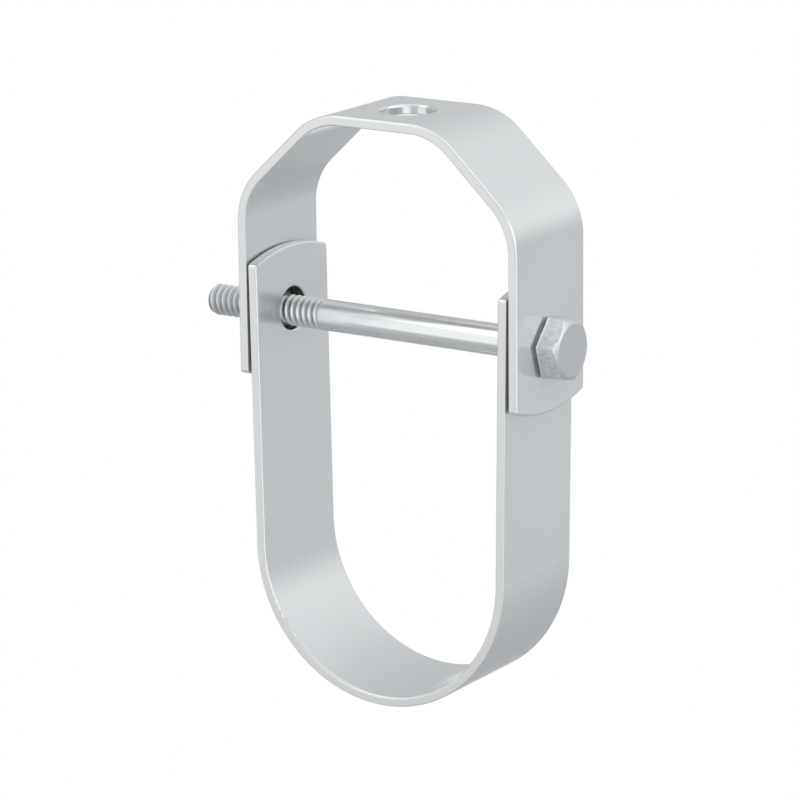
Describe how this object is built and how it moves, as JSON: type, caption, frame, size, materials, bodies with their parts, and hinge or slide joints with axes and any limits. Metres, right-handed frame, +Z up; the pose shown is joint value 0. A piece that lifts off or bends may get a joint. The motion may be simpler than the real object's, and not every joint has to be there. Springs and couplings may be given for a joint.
{
  "type": "clevis pipe hanger",
  "caption": "Bent yoke and U strap hinged together on a cross bolt, which hangs a pipe from a threaded rod through the hole in the yoke's top.",
  "frame": {"origin": "centre of the rod hole, on the top face of the yoke", "axes": "+Z up along the hanger rod, +X along the cross bolt towards its head, +Y along the pipe, across the strips' width"},
  "size_m": [0.0857, 0.025, 0.1191],
  "materials": {
    "zinc_strip": "satin zinc plating on steel strip",
    "zinc_bolt": "bright zinc plating on a steel bolt"
  },
  "bodies": {
    "yoke": {"yoke": "zinc_strip"},
    "lower_strap": {"lower_strap": "zinc_strip"},
    "cross_bolt": {"cross_bolt": "zinc_bolt"}
  },
  "joints": [
    {"name": "strap_swing", "type": "hinge", "parent": "yoke", "child": "lower_strap", "pos_m": [0, 0, -0.0437], "axis": [1, 0, 0], "range_deg": [-125, 125]},
    {"name": "bolt_withdraw", "type": "slide", "parent": "yoke", "child": "cross_bolt", "axis": [1, 0, 0], "range_m": [0, 0.085]}
  ]
}
